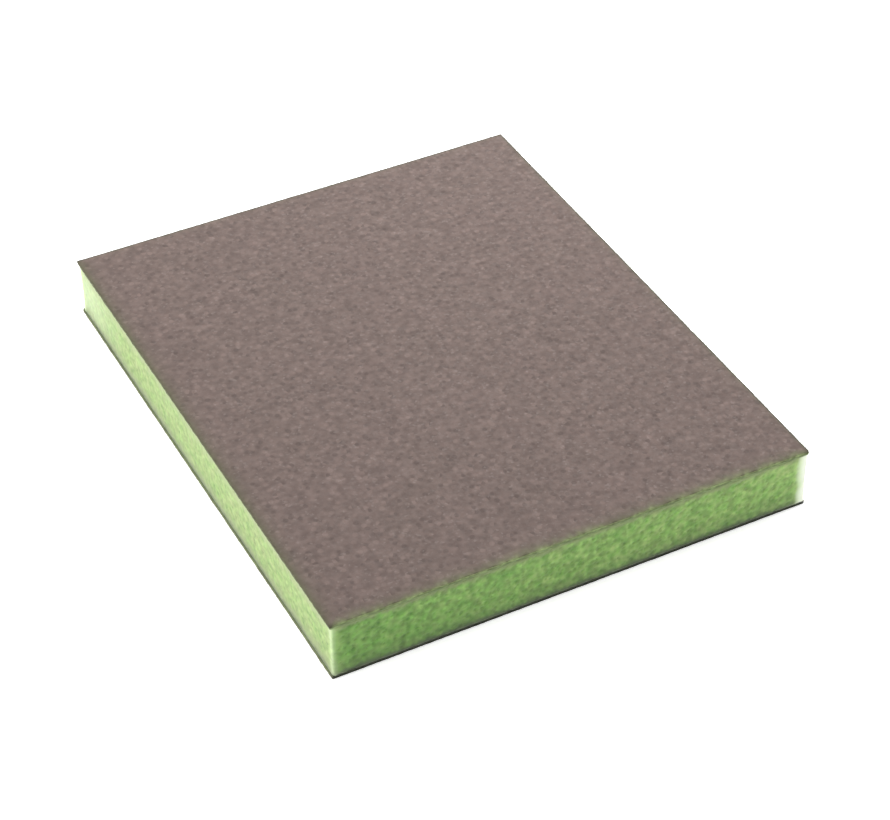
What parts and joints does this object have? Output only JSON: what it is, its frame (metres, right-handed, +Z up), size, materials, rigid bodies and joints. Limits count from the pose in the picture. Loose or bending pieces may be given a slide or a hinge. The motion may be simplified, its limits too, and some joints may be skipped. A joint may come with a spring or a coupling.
{
  "type": "sanding block",
  "caption": "Thin rectangular foam sanding block, abrasive on both broad faces, with bare open-cell foam on its sides.",
  "frame": {"origin": "centre of the bottom abrasive face, the plane the block lies on", "axes": "+X across the 98 mm width, +Y along the 120 mm length, +Z up through the 13 mm thickness"},
  "size_m": [0.098, 0.12, 0.013],
  "materials": {
    "foam": "matte",
    "bond_coat": "matte",
    "abrasive": "matte"
  },
  "bodies": {
    "root": {"foam_core": "foam", "bottom_bond_coat": "bond_coat", "bottom_abrasive_layer": "abrasive", "top_bond_coat": "bond_coat", "top_abrasive_layer": "abrasive"}
  },
  "joints": []
}
